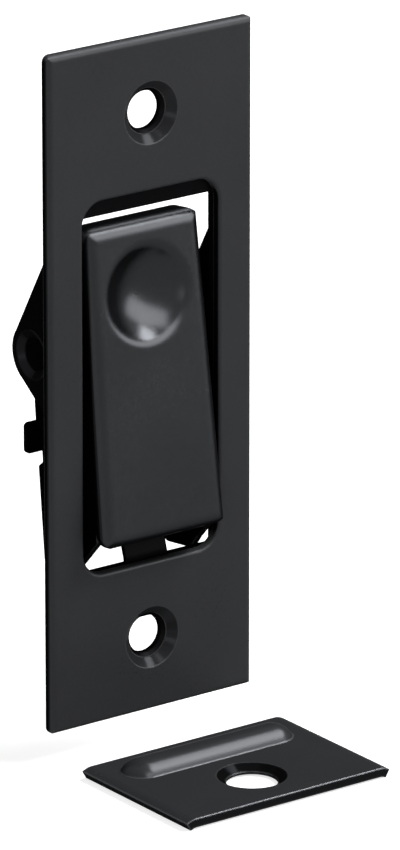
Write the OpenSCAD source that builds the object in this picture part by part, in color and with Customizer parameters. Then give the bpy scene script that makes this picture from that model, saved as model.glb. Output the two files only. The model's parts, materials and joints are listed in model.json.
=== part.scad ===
// Mortise jamb bolt with its strike plate.
// A rocker turns on a hollow pivot behind a slotted face plate. Pressing the dimple at its top
// throws the bottom out of the plate; pressing the bottom brings it back flush.
// Frame: X across the plate, +Y into the door, +Z up. The origin lies midway between the two
// screw holes, on the frame's back, which seats on the floor of the mortise.

/* [Face plate] */
// Height of the face plate
plate_h = 76.2; // [68:0.1:90]
// Width of the face plate
plate_w = 27; // [26:0.1:36]
// Thickness of the face plate
plate_t = 1.0; // [0.8:0.05:1.6]
// Radius along the front edges of the face plate
plate_edge_r = 0.8; // [0.2:0.05:0.8]
// Corner radius of the face plate
plate_corner_r = 0.8; // [0.3:0.1:3]
// Distance between the two screw holes
screw_spacing = 59.3; // [56:0.1:72]
// Diameter of the countersink at the plate's front
screw_head_d = 7.0; // [6:0.1:8]
// Diameter of the through hole for the screw
screw_hole_d = 4.25; // [3.6:0.05:4.6]

/* [Window] */
// Width of the window in the face plate
window_w = 17.9; // [17.6:0.1:19]
// Height of the window in the face plate
window_h = 42; // [41:0.1:44]
// Corner radius of the window in the face plate
window_corner_r = 2.7; // [0.6:0.1:4]
// Radius along the front edge of the window
window_edge_r = 0.4; // [0.1:0.05:0.5]
// How much lower the frame's window ends at the top
window_top_step = 1.9; // [0.5:0.1:2.2]
// Corner radius of the window in the frame
frame_window_r = 0.5; // [0.2:0.1:1.5]

/* [Frame] */
// Sheet thickness of the frame behind the plate
frame_t = 1.0; // [0.9:0.05:1.4]
// Distance between the outer faces of the two cheeks
cheek_span = 22.8; // [22:0.1:25]
// Distance from the plate's ends to the frame's ends
frame_end_inset = 2.1; // [0.5:0.1:3]
// Corner radius of the frame's base
frame_corner_r = 2.0; // [0.5:0.1:4]
// Outer radius of the bend between base and cheek
cheek_bend_r = 0.9; // [0.3:0.05:1.2]
// Upper end of the cheek on the frame's back
cheek_top_z = 17.2; // [14:0.1:19]
// Lower end of the cheek on the frame's back
cheek_bottom_z = -4.3; // [-8:0.1:-3]
// Radius of the ear around the pivot
ear_r = 3.45; // [3.2:0.05:4.5]
// Radius of the hollow where the cheek's upper edge leaves the base
cheek_top_fillet = 9; // [2:0.5:12]
// Radius of the hollow where the cheek's lower edge leaves the base
cheek_bottom_fillet = 1.5; // [0.5:0.1:3]

/* [Pivot] */
// Depth of the pivot behind the plate's front
pivot_depth = 6.3; // [6:0.05:7.5]
// Height of the pivot above the plate's centre
pivot_z = 3.1; // [1:0.05:4]
// Bore of the hollow pivot
pivot_bore_d = 3.8; // [2.4:0.1:4]
// Wall of the hollow pivot
pivot_wall = 0.35; // [0.25:0.05:0.5]
// Diameter of the flared mouth at each end
pivot_mouth_d = 5.2; // [5:0.1:5.6]
// Depth of the flared mouth
pivot_mouth_h = 0.6; // [0.4:0.05:0.8]
// Running clearance on the pivot, on the radius
pivot_fit = 0.05; // [0.02:0.01:0.1]
// Wall of the spacer bushes
bush_wall = 1.0; // [0.6:0.1:1.6]
// Side clearance between a bush and the rocker
bush_gap = 0.3; // [0.2:0.05:0.5]

/* [Rocker] */
// Angle that the rocker turns between flush and thrown
throw_angle = 7; // [4:0.5:8]
// Width of the rocker at its lower end
rocker_w = 16.5; // [15.5:0.1:16.6]
// Lean of each side of the rocker, narrower at the top
rocker_taper = 1.1; // [0:0.1:1.2]
// Top of the rocker when it is flush
rocker_top_z = 16.9; // [15.8:0.1:17.4]
// Bottom of the rocker's face when it is flush
rocker_bottom_z = -18.45; // [-19.2:0.05:-18]
// How far the rocker's face stands proud when it is flush
rocker_proud = 0.2; // [0:0.05:0.5]
// Wall of the rocker
rocker_wall = 0.9; // [0.7:0.05:1]
// Radius along the top front edge
rocker_top_r = 1.6; // [1.2:0.1:2.4]
// Radius along the bottom front edge, where the bottom wall ends
rocker_bottom_r = 1.45; // [1.1:0.05:1.5]
// Radius along the side front edges
rocker_side_r = 1.4; // [1:0.1:1.6]
// Corner radius of the rocker's face
rocker_corner_r = 1.8; // [0.5:0.1:2.4]
// Depth of the wall at the rocker's top
rocker_top_depth = 2.8; // [2.4:0.1:3.2]
// Distance from the rocker's face to the back edge of its skirts
skirt_depth = 11.55; // [11.3:0.05:11.6]
// Lower end of the skirts when flush
skirt_bottom_z = -22.0; // [-22.4:0.1:-21.6]
// Distance from the frame's back to the lower lips of the skirts
skirt_clear = 3.1; // [2.9:0.1:3.4]
// Upper end of the straight back edge of the skirts
skirt_back_top_z = -3.4; // [-4:0.1:-3]
// Depth of the cam notch in the back edge of the skirts
notch_depth = 0.85; // [0.7:0.05:1]
// Height of the cam notch
notch_h = 4.7; // [4.5:0.1:5]
// Diameter of the thumb dimple
dimple_d = 11.8; // [8:0.1:12]
// Depth of the thumb dimple
dimple_depth = 2.2; // [1:0.1:2.3]
// Radius of the soft rim around the dimple
dimple_rim_r = 1.5; // [1:0.1:2]
// Distance from the rocker's top to the centre of the dimple
dimple_drop = 8.3; // [7.8:0.05:9]

/* [Leaf spring] */
// Thickness of the leaf spring
leaf_t = 0.5; // [0.3:0.05:0.6]
// Width of the leaf spring's stem
leaf_w = 5.6; // [4:0.1:7]
// Width across the arms of the T-shaped head
leaf_head_w = 17.8; // [17:0.1:19]
// Height of the T-shaped head
leaf_head_h = 3.5; // [2.5:0.1:3.6]
// Upper edge of the T-shaped head
leaf_head_z = -6.4; // [-6.8:0.1:-6]
// Height above the window's lower edge at which the leaf bends upright
leaf_bend_rise = 3.3; // [3:0.1:4]
// Length of the foot between plate and frame
leaf_foot_h = 6.5; // [5:0.1:7]
// Lean of the leaf where it leaves the window's edge
leaf_lean = 18; // [12:1:22]
// Clearance between the leaf's head and the cam notch
leaf_gap = 0.3; // [0.25:0.05:0.5]
// Diameter of the rivet that holds the foot
leaf_rivet_d = 2.4; // [1.6:0.1:3]
// Diameter of the rivet's head behind the frame
leaf_rivet_head_d = 4.0; // [3.4:0.1:5]
// Height of the rivet's head
leaf_rivet_head_h = 0.6; // [0.3:0.1:1]

/* [Strike plate] */
// Depth of the strike plate, front to back
strike_d = 19; // [17.5:0.1:24]
// Sheet thickness of the strike plate
strike_t = 1.0; // [0.8:0.05:1.2]
// Drop of the strike's two ends, which curl down
strike_roll = 0.36; // [0.2:0.02:0.6]
// Radius of the curl at the strike's ends
strike_roll_r = 2.5; // [1.8:0.1:3]
// Distance from the face plate to the strike plate
strike_gap = 5.7; // [5:0.1:30]
// How far the strike's flat top lies below the lower end of the face plate
strike_drop = 1.9; // [0:0.1:5]
// Length of the raised bead
bead_l = 22; // [14:0.5:23]
// Width of the raised bead
bead_w = 4.8; // [3.8:0.1:5.2]
// Height of the raised bead
bead_h = 1.4; // [0.8:0.1:1.6]
// Distance from the strike's back edge to the middle of the bead
bead_inset = 4.3; // [4:0.1:5]
// Diameter of the strike's countersink
strike_head_d = 7.7; // [7:0.1:8]
// Diameter of the strike's through hole
strike_hole_d = 5.6; // [4.5:0.1:6]
// Distance from the strike's front edge to the middle of its hole
strike_hole_inset = 6.6; // [6:0.1:8]
// Height of the straight wall under the strike's countersink
strike_land = 0.3; // [0.2:0.05:0.4]

/* [Hidden] */

$fn = 64;
arc_steps = 8;
overlap = 1;

// Depths: the frame's back seats at 0, and the plate's front is flush with the door's edge
frame_back_y = 0;
frame_front_y = -frame_t;
front_y = frame_front_y - plate_t;

// The cheek's straight edges run this far inside the ear's circle, so that they cross it
ear_bite = 0.03;

// Joined outlines overlap by this much, and rounded corners bite this far into their edges
bite = 0.02;

// Touching round forms cross by this much
kiss = 0.003;

// Frame and its window
frame_h = plate_h - 2 * frame_end_inset;
window_top_z = window_h / 2;
window_bottom_z = -window_h / 2;
frame_window_top_z = window_top_z - window_top_step;
cheek_in_x = cheek_span / 2 - frame_t;
screw_head_depth = (screw_head_d - screw_hole_d) / 2;

// Hollow pivot
pivot_y = front_y + pivot_depth;
pivot_r = pivot_bore_d / 2 + pivot_wall;
pivot_seat_r = pivot_mouth_d / 2 + pivot_fit;

// Rocker, in the pose where its face is flush
face_y = front_y - rocker_proud;
skirt_back_y = face_y + skirt_depth;
bottom_lip_y = face_y + rocker_bottom_r;
lip_z = rocker_bottom_z + rocker_wall;
lip_flat = 0.05;
skirt_in_y = frame_back_y + skirt_clear;
skirt_chamfer = 1.2;
boss_r = pivot_r + 1.8;
shoulder_in = 1.4;
shoulder_rise = 4.6;
dimple_z = rocker_top_z - dimple_drop;
function side_x(z) = rocker_w / 2 - (z - rocker_bottom_z) * tan(rocker_taper);

// Leaf spring: its head stands just behind the notch of the flush rocker
notch_y = skirt_back_y - notch_depth;
head_front_y = notch_y + leaf_gap;
head_mid_y = head_front_y + leaf_t / 2;
head_bottom_z = leaf_head_z - leaf_head_h;
head_mid_z = (leaf_head_z + head_bottom_z) / 2;
head_corner_r = 0.5;
head_straight = 1.6;
notch_play = 0.6;
notch_ramp = 0.5;
notch_top_z = leaf_head_z + notch_play;
notch_bottom_z = notch_top_z - notch_h;
leaf_root_y = frame_front_y + leaf_t / 2;
leaf_foot_z = window_bottom_z - leaf_foot_h;
leaf_bend_z = window_bottom_z + leaf_bend_rise;

// Strike plate
strike_back_y = front_y - strike_gap;
strike_top_z = -plate_h / 2 - strike_drop;

// Unit vector from a to b, and the left normal of a direction
function unit(a, b) = (b - a) / norm(b - a);
function left(u) = [-u[1], u[0]];

// Arc points that round the corner at b, between a and c, with radius r
function corner_arc(a, b, c, r) =
    let (
        u = unit(b, a),
        v = unit(b, c),
        half = acos(u * v) / 2,
        run = r / tan(half),
        mid = b + (u + v) / norm(u + v) * r / sin(half),
        from = b + u * run,
        to = b + v * run,
        start = atan2(from[1] - mid[1], from[0] - mid[0]),
        raw = atan2(to[1] - mid[1], to[0] - mid[0]) - start,
        turn = raw > 180 ? raw - 360 : raw < -180 ? raw + 360 : raw
    )
    [for (i = [0:arc_steps]) let (w = start + turn * i / arc_steps) mid + r * [cos(w), sin(w)]];

// Distance from the corner at b to where its rounding starts
function corner_run(a, b, c, r) = r / tan(acos(unit(b, a) * unit(b, c)) / 2);

// Closed outline with corners [x, y, radius]; a radius of 0 leaves the corner sharp
function rounded(corners) =
    let (n = len(corners))
    [for (i = [0:n - 1])
        let (
            a = corners[(i + n - 1) % n],
            b = corners[i],
            c = corners[(i + 1) % n]
        )
        each b[2] > 0
            ? corner_arc([a[0], a[1]], [b[0], b[1]], [c[0], c[1]], b[2])
            : [[b[0], b[1]]]];

// Open path with its corners rounded the same way
function rounded_path(corners) =
    let (n = len(corners))
    [for (i = [0:n - 1])
        each i > 0 && i < n - 1 && corners[i][2] > 0
            ? corner_arc([corners[i - 1][0], corners[i - 1][1]], [corners[i][0], corners[i][1]],
                         [corners[i + 1][0], corners[i + 1][1]], corners[i][2])
            : [[corners[i][0], corners[i][1]]]];

// Path moved sideways by d
function path_normal(path, i) =
    let (
        n = len(path),
        u = i > 0 ? unit(path[i - 1], path[i]) : unit(path[0], path[1]),
        v = i < n - 1 ? unit(path[i], path[i + 1]) : u,
        m = left(u) + left(v)
    )
    m / norm(m) / (left(u) * m / norm(m));
function moved_path(path, d) = [for (i = [0:len(path) - 1]) path[i] + d * path_normal(path, i)];

// Strip of sheet, thickness t, along an open path
function strip(path, t) =
    let (n = len(path), one = moved_path(path, t / 2), two = moved_path(path, -t / 2))
    concat(one, [for (i = [n - 1:-1:0]) two[i]]);

// Point where the tangent from p touches a circle; side is 1 or -1
function tangent_point(p, c, r, side) =
    let (d = norm(p - c), w = atan2(p[1] - c[1], p[0] - c[0]) + side * acos(r / d))
    c + r * [cos(w), sin(w)];

// Cheek: where its straight edges leave the base, touch the ear and end in the hollows
ear = [pivot_y, pivot_z];
cheek_top = [frame_back_y, cheek_top_z];
cheek_low = [frame_back_y, cheek_bottom_z];
top_touch = tangent_point(cheek_top, ear, ear_r - ear_bite, -1);
low_touch = tangent_point(cheek_low, ear, ear_r - ear_bite, 1);
rise = [0, plate_h];
head_run = corner_run(cheek_top + rise, cheek_top, top_touch, cheek_top_fillet);
foot_run = corner_run(cheek_low - rise, cheek_low, low_touch, cheek_bottom_fillet);
cheek_head_z = cheek_top_z + head_run;
cheek_foot_z = cheek_bottom_z - foot_run;

// Extrudes an outline drawn in [y, z] along X, over x0 to x1
module along_x(x0, x1) {
    translate([x0, 0, 0])
        rotate([90, 0, 90])
            linear_extrude(x1 - x0)
                children();
}

// Extrudes an outline drawn in [x, z] along +Y, over y0 to y1
module along_y(y0, y1) {
    translate([0, y1, 0])
        rotate([90, 0, 0])
            linear_extrude(y1 - y0)
                children();
}

// Round bar along X
module bar_x(r, x0, x1) {
    translate([x0, 0, 0])
        rotate([0, 90, 0])
            cylinder(r = r, h = x1 - x0);
}

// Rectangle outline centred at [x, z] with rounded corners
module round_rect(w, h, r, centre = [0, 0]) {
    translate(centre)
        polygon(rounded([
            [-w / 2, -h / 2, r], [w / 2, -h / 2, r], [w / 2, h / 2, r], [-w / 2, h / 2, r]
        ]));
}

// Cross-section of a plate with rounded front edges; front at 0, back at t
module plate_section(w, t, r) {
    polygon(rounded([[-w / 2, 0, r], [w / 2, 0, r], [w / 2, t, 0], [-w / 2, t, 0]]));
}

// Screw hole through plate and frame, countersunk from the front
module screw_hole(z) {
    translate([0, front_y, z])
        rotate([-90, 0, 0]) {
            translate([0, 0, -overlap])
                cylinder(d = screw_hole_d, h = plate_t + frame_t + 2 * overlap);
            cylinder(d1 = screw_head_d, d2 = screw_hole_d, h = screw_head_depth);
            translate([0, 0, -overlap])
                cylinder(d = screw_head_d, h = overlap);
        }
}

module screw_holes() {
    for (side = [-1, 1])
        screw_hole(side * screw_spacing / 2);
}

// Window of the face plate, with true round corners
module window_outline() {
    square([window_w - 2 * window_corner_r, window_h], center = true);
    square([window_w, window_h - 2 * window_corner_r], center = true);
    for (side = [-1, 1])
        for (end = [-1, 1])
            translate([side * (window_w / 2 - window_corner_r), end * (window_h / 2 - window_corner_r)])
                circle(window_corner_r);
}

// Section of the eased window edge: out from the edge, and in from the plate's front
module ease_section(start, reach) {
    r = window_edge_r;
    translate([start, 0])
        polygon(concat(
            [[-reach, -overlap], [-reach, r]],
            [for (i = [0:arc_steps]) let (w = 90 * i / arc_steps) r * [1 - cos(w), 1 - sin(w)]],
            [[r, -overlap]]
        ));
}

// Cut that eases the window's front edge: bars along its sides and rings at its corners
module window_ease() {
    long = window_h / 2 - window_corner_r;
    wide = window_w / 2 - window_corner_r;
    translate([0, front_y, 0])
        for (side = [0, 1]) {
            mirror([side, 0, 0])
                translate([0, 0, -long])
                    linear_extrude(2 * long)
                        ease_section(window_w / 2, overlap);
            mirror([0, 0, side])
                rotate([0, -90, 0])
                    translate([0, 0, -wide])
                        linear_extrude(2 * wide)
                            ease_section(window_h / 2, overlap);
            for (end = [-1, 1])
                translate([(2 * side - 1) * wide, 0, end * long])
                    rotate([-90, 0, 0])
                        rotate_extrude()
                            ease_section(window_corner_r, min(overlap, window_corner_r / 2));
        }
}

// Face plate: flat sheet with eased edges, a window and two countersunk holes
module face_plate() {
    color([0.2, 0.21, 0.22])
        difference() {
            intersection() {
                translate([0, front_y, -plate_h / 2])
                    linear_extrude(plate_h)
                        plate_section(plate_w, plate_t, plate_edge_r);
                translate([-plate_w / 2, front_y, 0])
                    rotate([90, 0, 90])
                        linear_extrude(plate_w)
                            rotate(90)
                                mirror([0, 1])
                                    plate_section(plate_h, plate_t, plate_edge_r);
                along_y(front_y - overlap, frame_front_y + overlap)
                    round_rect(plate_w, plate_h, plate_corner_r);
            }
            along_y(front_y - overlap, frame_front_y + overlap)
                window_outline();
            window_ease();
            screw_holes();
        }
}

// Cheek outline in [y, z]: straight edges from the base, tangent to the ear round the pivot
module cheek_outline() {
    translate(ear)
        circle(ear_r);
    polygon(concat(
        [[frame_front_y, cheek_foot_z], [frame_back_y - bite, cheek_foot_z]],
        corner_arc([frame_back_y, cheek_foot_z], cheek_low, low_touch, cheek_bottom_fillet),
        [low_touch, ear, top_touch],
        corner_arc(top_touch, cheek_top, [frame_back_y, cheek_head_z], cheek_top_fillet),
        [[frame_back_y - bite, cheek_head_z], [frame_front_y, cheek_head_z]]
    ));
}

// Cone-mouthed seat in a cheek for one end of the pivot
module pivot_seat(side) {
    translate([side * cheek_span / 2, pivot_y, pivot_z])
        rotate([0, -side * 90, 0]) {
            translate([0, 0, -overlap])
                cylinder(r = pivot_r + pivot_fit, h = frame_t + 2 * overlap);
            cylinder(r1 = pivot_seat_r + pivot_wall, r2 = pivot_r + pivot_fit, h = pivot_mouth_h);
        }
}

// One cheek, bent back from the side of the base
module cheek(side) {
    difference() {
        mirror([side < 0 ? 1 : 0, 0, 0])
            along_x(cheek_in_x, cheek_span / 2)
                cheek_outline();
        pivot_seat(side);
    }
}

// Shallow pocket in the frame's front for the foot of the leaf spring
module leaf_pocket() {
    along_y(frame_front_y - overlap, frame_front_y + leaf_t)
        round_rect(leaf_w, leaf_foot_h + overlap, frame_window_r,
                   [0, window_bottom_z - leaf_foot_h / 2 + overlap / 2]);
}

module leaf_rivet_hole(r, y0, y1) {
    translate([0, y0, window_bottom_z - leaf_foot_h / 2])
        rotate([-90, 0, 0])
            cylinder(r = r, h = y1 - y0);
}

// Frame: sheet base behind the plate, with a window and two cheeks bent back
module housing_frame() {
    window_mid_z = (frame_window_top_z + window_bottom_z) / 2;
    color([0.14, 0.14, 0.15])
        difference() {
            union() {
                along_y(frame_front_y, frame_back_y)
                    round_rect(cheek_span, frame_h, frame_corner_r);
                for (side = [-1, 1])
                    cheek(side);
            }
            along_y(frame_front_y - overlap, frame_back_y + overlap)
                round_rect(window_w, frame_window_top_z - window_bottom_z, frame_window_r,
                           [0, window_mid_z]);
            screw_holes();
            leaf_pocket();
            leaf_rivet_hole(leaf_rivet_d / 2, frame_front_y, frame_back_y + overlap);
            for (side = [-1, 1])
                bend_relief(side);
        }
}

// Rounds the front outer edge of the base where a cheek is bent back
module bend_relief(side) {
    corner = [side * cheek_span / 2, frame_front_y];
    mid = corner + [-side, 1] * cheek_bend_r;
    translate([0, 0, cheek_foot_z])
        linear_extrude(cheek_head_z - cheek_foot_z)
            difference() {
                translate(corner + [side > 0 ? -cheek_bend_r : -overlap, -overlap])
                    square([cheek_bend_r + overlap, cheek_bend_r + overlap]);
                translate(mid)
                    circle(cheek_bend_r);
            }
}

// Hollow pivot: tube with both mouths flared into the cheeks
module pivot_tube() {
    half = cheek_span / 2;
    bore_r = pivot_bore_d / 2;
    mouth_r = pivot_mouth_d / 2;
    color([0.1, 0.1, 0.11])
        translate([0, pivot_y, pivot_z])
            rotate([0, 90, 0])
                rotate_extrude()
                    polygon([
                        [bore_r, -half + pivot_mouth_h], [mouth_r, -half],
                        [mouth_r + pivot_wall, -half], [pivot_r, -half + pivot_mouth_h],
                        [pivot_r, half - pivot_mouth_h], [mouth_r + pivot_wall, half],
                        [mouth_r, half], [bore_r, half - pivot_mouth_h]
                    ]);
}

// Spacer bush between a cheek and the rocker's skirt
module spacer_bush(side) {
    inner_x = side_x(pivot_z) + bush_gap;
    color([0.35, 0.33, 0.3])
        mirror([side < 0 ? 1 : 0, 0, 0])
            translate([inner_x, pivot_y, pivot_z])
                rotate([0, 90, 0])
                    difference() {
                        cylinder(r = pivot_r + bush_wall, h = cheek_in_x - inner_x);
                        translate([0, 0, -overlap])
                            cylinder(r = pivot_r + pivot_fit, h = cheek_in_x + overlap);
                    }
}

module spacer_bush_left() {
    spacer_bush(-1);
}

module spacer_bush_right() {
    spacer_bush(1);
}

// Side view of the flush rocker in [y, z]: face, short end walls, skirts round the pivot
module skirt_outline() {
    polygon(rounded([
        [face_y, rocker_top_z, rocker_top_r],
        [face_y, rocker_bottom_z, rocker_bottom_r - lip_flat],
        [bottom_lip_y, rocker_bottom_z, 0],
        [bottom_lip_y, lip_z, 0],
        [skirt_in_y, skirt_bottom_z + skirt_chamfer, 0.8],
        [skirt_in_y + skirt_chamfer, skirt_bottom_z, 0.5],
        [skirt_back_y, skirt_bottom_z, 1.2],
        [skirt_back_y, notch_bottom_z, 0.4],
        [notch_y, notch_bottom_z + notch_ramp, 0.4],
        [notch_y, notch_top_z - notch_ramp, 0.3],
        [skirt_back_y, notch_top_z, 0.25],
        [skirt_back_y, skirt_back_top_z, 0.8],
        [pivot_y + boss_r, pivot_z, 2],
        [pivot_y + boss_r - shoulder_in, pivot_z + shoulder_rise, 2.5],
        [face_y + rocker_top_depth, rocker_top_z, 0]
    ]));
}

// Width of the rocker as a block with leaning sides and rounded side edges, inset by a wall
module rocker_block(inset, back) {
    reach = 2 * plate_h;
    edge_r = rocker_side_r - inset;
    intersection_for (side = [-1, 1])
        mirror([side < 0 ? 1 : 0, 0, 0])
            translate([rocker_w / 2 - inset, 0, rocker_bottom_z])
                rotate([0, -rocker_taper, 0])
                    translate([0, 0, -reach / 2])
                        linear_extrude(reach)
                            polygon(rounded([
                                [-reach, face_y + inset, 0], [0, face_y + inset, edge_r],
                                [0, back, 0], [-reach, back, 0]
                            ]));
}

// Cut that rounds the two corners of the rocker's face at height z; way is 1 at its top
module corner_cuts(z, way, y_end) {
    corner = [side_x(z) - bite, z - way * bite];
    down = [side_x(0) - bite, 0];
    across = [0, corner[1]];
    run = corner_run(down, corner, across, rocker_corner_r);
    for (side = [0, 1])
        mirror([side, 0, 0])
            along_y(face_y - overlap, y_end)
                polygon(concat(
                    corner_arc(down, corner, across, rocker_corner_r),
                    [[corner[0] - run, z + way * overlap], [rocker_w, z + way * overlap]],
                    [[rocker_w, corner[1] - way * run]]
                ));
}

// Bowl of the thumb dimple as a turned shape; inset gives the bulge behind it
module dimple_bowl(inset) {
    rim = dimple_d / 2;
    span = (rim * rim + dimple_depth * dimple_depth) / (2 * dimple_depth);
    ball_r = span - dimple_rim_r;
    ball_h = dimple_depth - ball_r;
    join_h = ball_h + (dimple_rim_r - ball_h) * (ball_r + inset) / span;
    translate([0, face_y, dimple_z])
        rotate([-90, 0, 0])
            rotate_extrude() {
                intersection() {
                    translate([0, ball_h])
                        circle(ball_r + inset + kiss);
                    translate([0, inset])
                        square([rim, dimple_depth + overlap]);
                }
                difference() {
                    translate([0, inset - overlap / 2])
                        square([rim, join_h - inset + overlap / 2]);
                    translate([rim, dimple_rim_r])
                        circle(dimple_rim_r - inset);
                }
            }
}

// Rocker in its flush pose: a pressed shell, open at the back, between two skirts
module rocker_flush() {
    difference() {
        union() {
            difference() {
                intersection() {
                    along_x(-rocker_w, rocker_w)
                        skirt_outline();
                    rocker_block(0, skirt_back_y + overlap);
                }
                intersection() {
                    rocker_block(rocker_wall, skirt_back_y + 2 * overlap);
                    along_x(-rocker_w, rocker_w)
                        polygon(rounded([
                            [face_y + rocker_wall, rocker_top_z - rocker_wall, rocker_top_r - rocker_wall],
                            [face_y + rocker_wall, lip_z, rocker_bottom_r - rocker_wall - lip_flat],
                            [bottom_lip_y, lip_z, 0],
                            [bottom_lip_y, skirt_bottom_z - overlap, 0],
                            [skirt_back_y + 2 * overlap, skirt_bottom_z - overlap, 0],
                            [skirt_back_y + 2 * overlap, rocker_top_z - rocker_wall, 0]
                        ]));
                }
            }
            dimple_bowl(rocker_wall);
        }
        dimple_bowl(0);
        corner_cuts(rocker_top_z, 1, skirt_back_y);
        corner_cuts(rocker_bottom_z, -1, bottom_lip_y);
        translate([0, pivot_y, pivot_z])
            bar_x(pivot_r + pivot_fit, -rocker_w, rocker_w);
    }
}

// Rocker in its thrown pose, turned about the pivot
module rocker_bolt() {
    color([0.22, 0.23, 0.24])
        translate([0, pivot_y, pivot_z])
            rotate([-throw_angle, 0, 0])
                translate([0, -pivot_y, -pivot_z])
                    rocker_flush();
}

// Leaf spring: foot between plate and frame, leaning stem, T-shaped head behind the cam notch
module leaf_spring() {
    path = rounded_path([
        [leaf_root_y, leaf_foot_z, 0],
        [leaf_root_y, window_bottom_z + leaf_t, 2],
        [leaf_root_y + (leaf_bend_z - window_bottom_z - leaf_t) * tan(leaf_lean), leaf_bend_z, 4],
        [head_mid_y, head_bottom_z - head_straight, 1.5],
        [head_mid_y, leaf_head_z, 0]
    ]);
    color([0.18, 0.18, 0.19])
        difference() {
            intersection() {
                along_x(-leaf_head_w / 2, leaf_head_w / 2)
                    polygon(strip(path, leaf_t));
                union() {
                    along_y(front_y, skirt_back_y + leaf_head_w)
                        translate([-leaf_w / 2 + pivot_fit, leaf_foot_z + pivot_fit])
                            square([leaf_w - 2 * pivot_fit, head_mid_z - leaf_foot_z]);
                    along_y(front_y, skirt_back_y + leaf_head_w)
                        round_rect(leaf_head_w, leaf_head_h, head_corner_r, [0, head_mid_z]);
                }
            }
            leaf_rivet_hole(leaf_rivet_d / 2, frame_front_y - overlap, frame_back_y);
        }
}

// Rivet that holds the leaf spring's foot in its pocket, flush with the frame's front
module spring_rivet() {
    color([0.25, 0.25, 0.26]) {
        leaf_rivet_hole(leaf_rivet_d / 2, frame_front_y, frame_back_y);
        leaf_rivet_hole(leaf_rivet_head_d / 2, frame_back_y, frame_back_y + leaf_rivet_head_h);
    }
}

// Section of the strike across X: a flat sheet whose two ends curl down
module strike_section() {
    fall = acos(1 - strike_roll / strike_roll_r);
    run = strike_roll_r * sin(fall);
    mid = [plate_w / 2 - run, strike_top_z - strike_roll_r];
    function curl(r) = [for (i = [0:arc_steps]) let (w = 90 - fall * i / arc_steps)
        mid + r * [cos(w), sin(w)]];
    top = curl(strike_roll_r);
    low = curl(strike_roll_r - strike_t);
    n = arc_steps;
    polygon(concat(
        [for (i = [n:-1:0]) [-top[i][0], top[i][1]]], top,
        [for (i = [n:-1:0]) low[i]], [for (i = [0:n]) [-low[i][0], low[i][1]]]
    ));
}

// Bead pressed up from the sheet, with round ends; inset gives the hollow under it
module bead(inset) {
    r = (bead_w * bead_w / 4 + bead_h * bead_h) / (2 * bead_h);
    half = (bead_l - bead_w) / 2;
    intersection() {
        translate([0, strike_back_y - bead_inset, strike_top_z + bead_h - r]) {
            bar_x(r - inset, -half, half);
            for (side = [-1, 1])
                translate([side * half, 0, 0])
                    sphere(r - inset);
        }
        translate([-plate_w / 2, strike_back_y - strike_d, strike_top_z - strike_t - inset])
            cube([plate_w, strike_d, strike_t + bead_h + inset + overlap]);
    }
}

// Strike plate: sheet with curled ends, a raised bead and a countersunk hole
module strike_plate() {
    hole_y = strike_back_y - strike_d + strike_hole_inset;
    color([0.2, 0.21, 0.22])
        difference() {
            union() {
                translate([0, strike_back_y, 0])
                    rotate([90, 0, 0])
                        linear_extrude(strike_d)
                            strike_section();
                bead(0);
            }
            bead(strike_t);
            translate([0, hole_y, strike_top_z - strike_t - overlap])
                cylinder(d = strike_hole_d, h = strike_t + 2 * overlap);
            translate([0, hole_y, strike_top_z - strike_t + strike_land])
                cylinder(d1 = strike_hole_d, d2 = strike_head_d, h = strike_t - strike_land);
        }
}

face_plate();
housing_frame();
rocker_bolt();
pivot_tube();
spacer_bush_left();
spacer_bush_right();
leaf_spring();
spring_rivet();
strike_plate();
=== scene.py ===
"""Black mortise jamb bolt and its strike plate: finishes, light and camera around the CAD frame."""
import json
import math

import bpy
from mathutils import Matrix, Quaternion, Vector


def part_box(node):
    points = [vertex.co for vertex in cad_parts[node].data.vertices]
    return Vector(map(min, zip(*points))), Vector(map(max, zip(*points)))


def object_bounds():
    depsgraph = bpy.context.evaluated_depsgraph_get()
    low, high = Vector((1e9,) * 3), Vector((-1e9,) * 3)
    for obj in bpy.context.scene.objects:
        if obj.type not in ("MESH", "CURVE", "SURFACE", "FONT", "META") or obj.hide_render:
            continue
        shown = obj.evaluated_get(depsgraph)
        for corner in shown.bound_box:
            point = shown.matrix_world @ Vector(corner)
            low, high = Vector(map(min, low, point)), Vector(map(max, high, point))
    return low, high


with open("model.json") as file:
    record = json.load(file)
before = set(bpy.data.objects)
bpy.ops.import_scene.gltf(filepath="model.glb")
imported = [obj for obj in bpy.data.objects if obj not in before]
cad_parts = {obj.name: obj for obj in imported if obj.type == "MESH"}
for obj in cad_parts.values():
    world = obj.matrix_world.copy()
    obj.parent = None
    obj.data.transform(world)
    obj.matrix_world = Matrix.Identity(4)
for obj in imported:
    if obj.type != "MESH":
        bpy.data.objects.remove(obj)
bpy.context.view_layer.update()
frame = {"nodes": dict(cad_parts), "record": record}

MM = 0.001

# Camera: where it looks from and at, fitted to the photograph, which is 850 pixels high
IMAGE_H = 850
FOCAL_PIXELS = 8345
VIEW_AZIMUTH = 36.4
VIEW_ELEVATION = 19.0
VIEW_DISTANCE = 900 * MM
AIM = Vector((6.42 * MM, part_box("face_plate")[0].y, -6.68 * MM))
SENSOR_MM = 36.0
CLIP_NEAR = 0.01
CLIP_FAR = 10.0

# Lamps: azimuth to the left, elevation, width, height, radiance, roll, whether it lights the set
LAMP_DISTANCE = 0.9
LAMPS = {
    "front_right": (-31, 29, 1.35, 0.5, 8, -42, False),
    "overhead_right": (-74, 49, 0.6, 0.33, 24, 0, True),
    "left_low": (55, 9, 0.4, 0.22, 4, 0, True),
}
WORLD_STRENGTH = 0.45
FLOOR_HALF = 3.0
FLOOR_ROUGHNESS = 0.9
FLOOR_GLOW = 0.72

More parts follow.
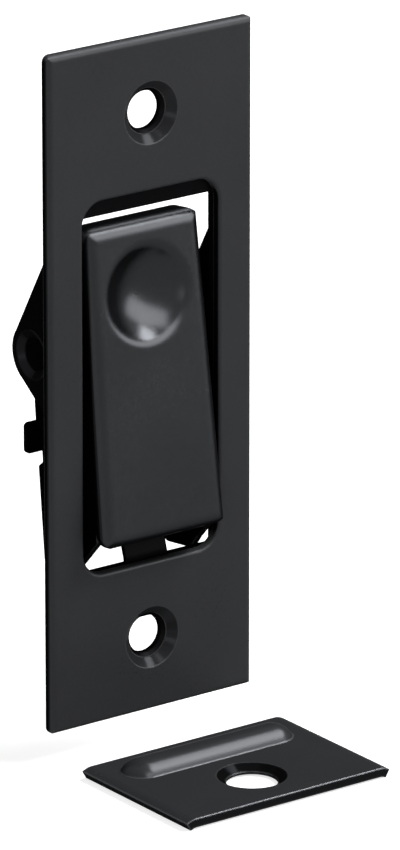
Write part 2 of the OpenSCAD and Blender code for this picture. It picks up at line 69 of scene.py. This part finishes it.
# Colours, linear
PLATE_PAINT = (0.036, 0.037, 0.039)
ROCKER_PAINT = (0.028, 0.029, 0.031)
STRIKE_PAINT = (0.031, 0.032, 0.034)
# the frame's black, darkened further as painted shade where it sits behind the plate
FRAME_BLACK_AND_PAINTED_SHADE = (0.0045, 0.0045, 0.005)
PIVOT_BLACK = (0.010, 0.010, 0.011)
# the leaf spring's dark steel, darkened further as painted shade where it sits behind the rocker
SPRING_STEEL_AND_PAINTED_SHADE = (0.002, 0.002, 0.002)
BUSH_STEEL = (0.12, 0.115, 0.11)
FLOOR_COLOUR = (0.5, 0.5, 0.5, 1)
WHITE = (1, 1, 1, 1)

# Grain of the finishes, in colour, in gloss and as bumps: a fine speckle and broad clouds, each
# with its scale, detail and roughness
SPECKLE = (2600.0, 3.0, 0.6)
CLOUDS = (75.0, 4.0, 0.55)
NOISE_LOW = 0.3
NOISE_HIGH = 0.7
SPECKLE_SHADE = 0.04
CLOUD_SHADE = 0.05
GLOSS_SPREAD = 0.02
GRAIN = 0.03
GRAIN_DEPTH = 0.05 * MM

# Edges: how far they are eased, the slant over which faces that look sideways or down fade into
# painted shade, and where edges get wear and a painted highlight
SHEET_EASE = 0.3 * MM
PLATE_EASE = 0.2 * MM
ROCKER_EASE = 0.6 * MM
EASE_SAMPLES = 6
SIDE_FROM = 0.78
SIDE_TO = 0.93
WORN_HIGHLIGHT_TO = 0.90
WORN_HIGHLIGHT_FROM = 0.995

# Countersinks: outer radii, the painted shade that darkens them, softness of the rim, extra gloss,
# and the rings turned on them
PLATE_HEAD_R = 3.5 * MM
STRIKE_HEAD_R = 3.85 * MM
PLATE_HEAD_PAINTED_SHADE = 0.6
STRIKE_HEAD_PAINTED_SHADE = 0.15
HEAD_EDGE = 0.08 * MM
HEAD_POLISH = 0.12
RING_PITCH = 0.16 * MM
RING_HEIGHT = 0.5

# Middle of the rocker's dimple, where slim facets meet, and how far they are shaded flat
DIMPLE_MIDDLE = Vector((0.0, 0.705, 9.083)) * MM
DIMPLE_FLAT_R = 0.7 * MM
DIMPLE_BLEND = 0.15 * MM


def node_at(tree, kind, **values):
    """New shader node, with its inputs or properties set by name."""
    node = tree.nodes.new(kind)
    for name, value in values.items():
        if name in node.inputs:
            node.inputs[name].default_value = value
        else:
            setattr(node, name, value)
    return node


def bare_material(name):
    """Material with a Principled shader and its output alone."""
    material = bpy.data.materials.new(name)
    material.use_nodes = True
    tree = material.node_tree
    tree.nodes.clear()
    output = tree.nodes.new("ShaderNodeOutputMaterial")
    shader = tree.nodes.new("ShaderNodeBsdfPrincipled")
    tree.links.new(shader.outputs["BSDF"], output.inputs["Surface"])
    return material, tree, shader


def ramp(tree, source, low, high, to_low, to_high):
    """Map Range node from low..high to to_low..to_high."""
    node = tree.nodes.new("ShaderNodeMapRange")
    node.inputs["From Min"].default_value = low
    node.inputs["From Max"].default_value = high
    node.inputs["To Min"].default_value = to_low
    node.inputs["To Max"].default_value = to_high
    tree.links.new(source, node.inputs["Value"])
    return node.outputs["Result"]


def maths(tree, operation, *terms):
    """Math node; a term is a socket or a plain number."""
    node = node_at(tree, "ShaderNodeMath", operation=operation)
    for socket, term in zip(node.inputs, terms):
        if isinstance(term, (int, float)):
            socket.default_value = term
        else:
            tree.links.new(term, socket)
    return node.outputs["Value"]


def total(tree, terms):
    """Sum of one or more sockets."""
    result = terms[0]
    for term in terms[1:]:
        result = maths(tree, "ADD", result, term)
    return result


def distance_from(tree, where, centre, keep=(1, 1, 1)):
    """Distance of a place from the centre, along the axes that keep has as 1."""
    offset = node_at(tree, "ShaderNodeVectorMath", operation="SUBTRACT")
    tree.links.new(where, offset.inputs[0])
    offset.inputs[1].default_value = centre
    flat = node_at(tree, "ShaderNodeVectorMath", operation="MULTIPLY")
    tree.links.new(offset.outputs["Vector"], flat.inputs[0])
    flat.inputs[1].default_value = keep
    length = node_at(tree, "ShaderNodeVectorMath", operation="LENGTH")
    tree.links.new(flat.outputs["Vector"], length.inputs[0])
    return length.outputs["Value"]


def noise(tree, where, scale, detail, roughness):
    """Noise over the surface, mostly between NOISE_LOW and NOISE_HIGH."""
    texture = node_at(tree, "ShaderNodeTexNoise", Scale=scale, Detail=detail, Roughness=roughness)
    tree.links.new(where, texture.inputs["Vector"])
    return texture.outputs["Fac"]


def around(tree, source, middle, spread):
    """Noise brought to middle, give or take the spread."""
    return ramp(tree, source, NOISE_LOW, NOISE_HIGH, middle - spread, middle + spread)


def painted_side_shade(tree, normal, shade, ends):
    """Painted shade on faces that look sideways or down, and on the front and back ones too with
    ends.
    """
    facing = tree.nodes.new("ShaderNodeSeparateXYZ")
    tree.links.new(normal, facing.inputs["Vector"])
    sideways = maths(tree, "ABSOLUTE", facing.outputs["X"])
    under = maths(tree, "MULTIPLY", facing.outputs["Z"], -1.0)
    away = maths(tree, "MAXIMUM", sideways, under)
    if ends:
        away = maths(tree, "MAXIMUM", away, maths(tree, "ABSOLUTE", facing.outputs["Y"]))
    return ramp(tree, away, SIDE_FROM, SIDE_TO, 1.0, shade)


def countersinks(tree, where, heads):
    """1 inside the countersinks and 0 outside, and the waves of the turned rings on them."""
    insides = []
    rings = []
    for centre in heads["places"]:
        away = distance_from(tree, where, centre, heads["keep"])
        rim = heads["radius"]
        inside = ramp(tree, away, rim - HEAD_EDGE, rim + HEAD_EDGE, 1.0, 0.0)
        wave = maths(tree, "SINE", maths(tree, "MULTIPLY", away, 2 * math.pi / RING_PITCH))
        insides.append(inside)
        rings.append(maths(tree, "MULTIPLY", wave, inside))
    return total(tree, insides), total(tree, rings)


def worn_and_highlighted_edges(tree, eased, light):
    """Wear and painted highlight: extra light where the eased normal leaves the surface's own, at
    an edge.
    """
    bend = node_at(tree, "ShaderNodeVectorMath", operation="DOT_PRODUCT")
    tree.links.new(eased, bend.inputs[0])
    tree.links.new(tree.nodes.new("ShaderNodeNewGeometry").outputs["Normal"], bend.inputs[1])
    return ramp(tree, bend.outputs["Value"], WORN_HIGHLIGHT_TO, WORN_HIGHLIGHT_FROM, light, 0.0)


def flat_near(tree, where, centre, smooth):
    """The smooth normal, but the facets' own near the centre."""
    away = distance_from(tree, where, centre)
    near = ramp(tree, away, DIMPLE_FLAT_R - DIMPLE_BLEND, DIMPLE_FLAT_R + DIMPLE_BLEND, 1.0, 0.0)
    blend = node_at(tree, "ShaderNodeMix", data_type="VECTOR")
    factor, from_normal, to_normal = [socket for socket in blend.inputs if socket.enabled]
    tree.links.new(near, factor)
    tree.links.new(smooth, from_normal)
    facet = tree.nodes.new("ShaderNodeNewGeometry").outputs["True Normal"]
    tree.links.new(facet, to_normal)
    return next(socket for socket in blend.outputs if socket.enabled)


def black_finish(name, colour, roughness, metallic=0.6, tint=0.05, ease=SHEET_EASE,
                 side_painted_shade=1.0, ends=False, heads=None, wear_and_highlight=0.0, flat=None):
    """Baked black finish with a fine grain.

    tint is the colour that it reflects at a slant and ease the softness of its edges. The side
    value is the painted shade of its faces that look sideways or down, heads its countersinks,
    which get painted shade, the wear value the wear and painted highlight that lighten its edges,
    and flat a place that is shaded by its facets.
    """
    material, tree, shader = bare_material(name)
    place = tree.nodes.new("ShaderNodeTexCoord")
    where = place.outputs["Object"]
    fine = noise(tree, where, *SPECKLE)
    broad = noise(tree, where, *CLOUDS)
    eased = node_at(tree, "ShaderNodeBevel", Radius=ease, samples=EASE_SAMPLES).outputs["Normal"]

    shade = maths(tree, "MULTIPLY", around(tree, broad, 1.0, CLOUD_SHADE),
                  around(tree, fine, 1.0, SPECKLE_SHADE))
    gloss = maths(tree, "ADD", around(tree, broad, roughness, GLOSS_SPREAD),
                  around(tree, fine, 0.0, GLOSS_SPREAD))
    height = fine
    # painted shade: faces that look sideways or down, and with ends the front and back ones, are
    # darkened
    if side_painted_shade != 1.0:
        painted_dark = painted_side_shade(tree, place.outputs["Normal"], side_painted_shade, ends)
        shade = maths(tree, "MULTIPLY", shade, painted_dark)
    if heads:
        inside, rings = countersinks(tree, where, heads)
        # painted shade: the countersinks are darkened
        shade = maths(tree, "MULTIPLY", shade, ramp(tree, inside, 0.0, 1.0, 1.0, heads["shade"]))
        gloss = maths(tree, "SUBTRACT", gloss, maths(tree, "MULTIPLY", inside, HEAD_POLISH))
        height = maths(tree, "ADD", height, maths(tree, "MULTIPLY", rings, RING_HEIGHT))
    # wear and painted highlight: the edges are lightened
    if wear_and_highlight:
        shade = maths(tree, "ADD", shade, worn_and_highlighted_edges(tree, eased, wear_and_highlight))

    shaded = node_at(tree, "ShaderNodeVectorMath", operation="SCALE")
    shaded.inputs[0].default_value = colour
    tree.links.new(shade, shaded.inputs["Scale"])
    bump = node_at(tree, "ShaderNodeBump", Strength=GRAIN, Distance=GRAIN_DEPTH)
    tree.links.new(height, bump.inputs["Height"])
    tree.links.new(flat_near(tree, where, flat, eased) if flat else eased, bump.inputs["Normal"])
    tree.links.new(shaded.outputs["Vector"], shader.inputs["Base Color"])
    tree.links.new(gloss, shader.inputs["Roughness"])
    tree.links.new(bump.outputs["Normal"], shader.inputs["Normal"])
    shader.inputs["Metallic"].default_value = metallic
    shader.inputs["Specular IOR Level"].default_value = 0.0
    shader.inputs["Specular Tint"].default_value = (tint, tint, tint, 1)
    return material


def dress(material, *nodes):
    """Gives CAD nodes their material."""
    for node in nodes:
        for slot in frame["nodes"][node].material_slots:
            slot.material = material


def mount(name):
    """Place and dimensions of one of the record's mounts."""
    found = next(item for item in frame["record"]["mounts"] if item["name"] == name)
    return Vector(found["pos_m"]), found["dims"]


def finish_plate():
    middle, dims = mount("plate_screws")
    reach = Vector((0, 0, dims["spacing_y_mm"] / 2)) * MM
    heads = {"places": (middle + reach, middle - reach), "keep": (1, 0, 1),
             "radius": PLATE_HEAD_R, "shade": PLATE_HEAD_PAINTED_SHADE}
    dress(black_finish("black_paint_plate", PLATE_PAINT, roughness=0.30, metallic=0.2,
                       ease=PLATE_EASE, side_painted_shade=0.06, heads=heads, wear_and_highlight=1.6), "face_plate")


def finish_rocker():
    dress(black_finish("black_paint_rocker", ROCKER_PAINT, roughness=0.25, metallic=0.85,
                       ease=ROCKER_EASE, side_painted_shade=0.15, flat=DIMPLE_MIDDLE), "rocker_bolt")


def finish_strike():
    hole, _ = mount("strike_screw")
    heads = {"places": (hole,), "keep": (1, 1, 0),
             "radius": STRIKE_HEAD_R, "shade": STRIKE_HEAD_PAINTED_SHADE}
    dress(black_finish("black_paint_strike", STRIKE_PAINT, roughness=0.25, metallic=0.4, tint=0.2,
                       side_painted_shade=0.3, ends=True, heads=heads, wear_and_highlight=2.2), "strike_plate")


def finish_works():
    """Frame, hollow pivot, leaf spring, bushes and rivet, most of them behind the plate."""
    # the frame's colour holds painted shade as well as its black
    dress(black_finish("black_frame", FRAME_BLACK_AND_PAINTED_SHADE, roughness=0.42), "housing_frame")
    dress(black_finish("pivot_black", PIVOT_BLACK, roughness=0.28), "pivot_tube")
    # the leaf spring's colour holds painted shade as well as its dark steel
    dress(black_finish("spring_steel", SPRING_STEEL_AND_PAINTED_SHADE, roughness=0.35), "leaf_spring")
    dress(black_finish("bush_steel", BUSH_STEEL, roughness=0.35, metallic=1.0, tint=1.0),
          "spacer_bush_left", "spacer_bush_right", "spring_rivet")


def direction(azimuth, elevation):
    """Unit vector from the object to a place at that azimuth, to the left, and elevation."""
    a = math.radians(azimuth)
    e = math.radians(elevation)
    return Vector((-math.sin(a) * math.cos(e), -math.cos(a) * math.cos(e), math.sin(e)))


def make_camera():
    data = bpy.data.cameras.new("camera")
    data.sensor_width = SENSOR_MM
    data.sensor_fit = "AUTO"
    data.lens = FOCAL_PIXELS / IMAGE_H * SENSOR_MM
    data.clip_start = CLIP_NEAR
    data.clip_end = CLIP_FAR
    camera = bpy.data.objects.new("camera", data)
    bpy.context.scene.collection.objects.link(camera)
    back = direction(VIEW_AZIMUTH, VIEW_ELEVATION)
    camera.location = AIM + back * VIEW_DISTANCE
    camera.rotation_euler = (-back).to_track_quat("-Z", "Y").to_euler()
    bpy.context.scene.camera = camera


def softbox(name, azimuth, elevation, width, height, radiance, roll, lights):
    """Lamp facing the set; one that lights nothing only shows as a soft reflection."""
    data = bpy.data.lights.new(name, "AREA")
    data.shape = "RECTANGLE"
    data.size, data.size_y = width, height
    data.energy = radiance * math.pi * width * height
    lamp = bpy.data.objects.new(name, data)
    bpy.context.scene.collection.objects.link(lamp)
    back = direction(azimuth, elevation)
    lamp.location = back * LAMP_DISTANCE
    turn = Quaternion((0, 0, 1), math.radians(roll))
    lamp.rotation_euler = ((-back).to_track_quat("-Z", "Y") @ turn).to_euler()
    lamp.visible_camera = False
    lamp.visible_diffuse = lights


def seen_by(tree, *rays):
    """1 for a ray of the kinds named, else 0."""
    path = tree.nodes.new("ShaderNodeLightPath")
    return maths(tree, "MINIMUM", total(tree, [path.outputs[ray] for ray in rays]), 1.0)


def mixed(tree, factor, first, second):
    """Mix of two shaders."""
    mix = tree.nodes.new("ShaderNodeMixShader")
    tree.links.new(factor, mix.inputs["Fac"])
    tree.links.new(first, mix.inputs[1])
    tree.links.new(second, mix.inputs[2])
    return mix.outputs["Shader"]


def make_world():
    """White wherever it is seen or mirrored, and a soft even grey as light."""
    world = bpy.data.worlds.new("world")
    bpy.context.scene.world = world
    world.use_nodes = True
    tree = world.node_tree
    tree.nodes.clear()
    output = tree.nodes.new("ShaderNodeOutputWorld")
    light = node_at(tree, "ShaderNodeBackground", Color=WHITE, Strength=WORLD_STRENGTH)
    white = node_at(tree, "ShaderNodeBackground", Color=WHITE, Strength=1.0)
    seen = seen_by(tree, "Is Camera Ray", "Is Glossy Ray", "Is Transmission Ray")
    both = mixed(tree, seen, light.outputs["Background"], white.outputs["Background"])
    tree.links.new(both, output.inputs["Surface"])


def floor_material():
    """White when mirrored, and seen directly white but for the shadow."""
    material, tree, shader = bare_material("floor")
    shader.inputs["Base Color"].default_value = FLOOR_COLOUR
    shader.inputs["Roughness"].default_value = FLOOR_ROUGHNESS
    shader.inputs["Specular IOR Level"].default_value = 0.0
    shader.inputs["Emission Color"].default_value = WHITE
    glow = maths(tree, "MULTIPLY", seen_by(tree, "Is Camera Ray"), FLOOR_GLOW)
    tree.links.new(glow, shader.inputs["Emission Strength"])
    white = node_at(tree, "ShaderNodeEmission", Color=WHITE, Strength=1.0)
    mirrored = seen_by(tree, "Is Glossy Ray", "Is Transmission Ray")
    both = mixed(tree, mirrored, shader.outputs["BSDF"], white.outputs["Emission"])
    output = next(node for node in tree.nodes if node.type == "OUTPUT_MATERIAL")
    tree.links.new(both, output.inputs["Surface"])
    return material


def make_floor():
    """Pale floor under the set."""
    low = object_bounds()[0].z
    signs = ((-1, -1), (1, -1), (1, 1), (-1, 1))
    corners = [(x * FLOOR_HALF, y * FLOOR_HALF, low) for x, y in signs]
    mesh = bpy.data.meshes.new("floor")
    mesh.from_pydata(corners, [], [(0, 1, 2, 3)])
    mesh.materials.append(floor_material())
    floor = bpy.data.objects.new("floor", mesh)
    bpy.context.scene.collection.objects.link(floor)


finish_plate()
finish_rocker()
finish_strike()
finish_works()
make_camera()
make_world()
for lamp, values in LAMPS.items():
    softbox(lamp, *values)
make_floor()

bpy.context.scene.view_settings.view_transform = "Standard"
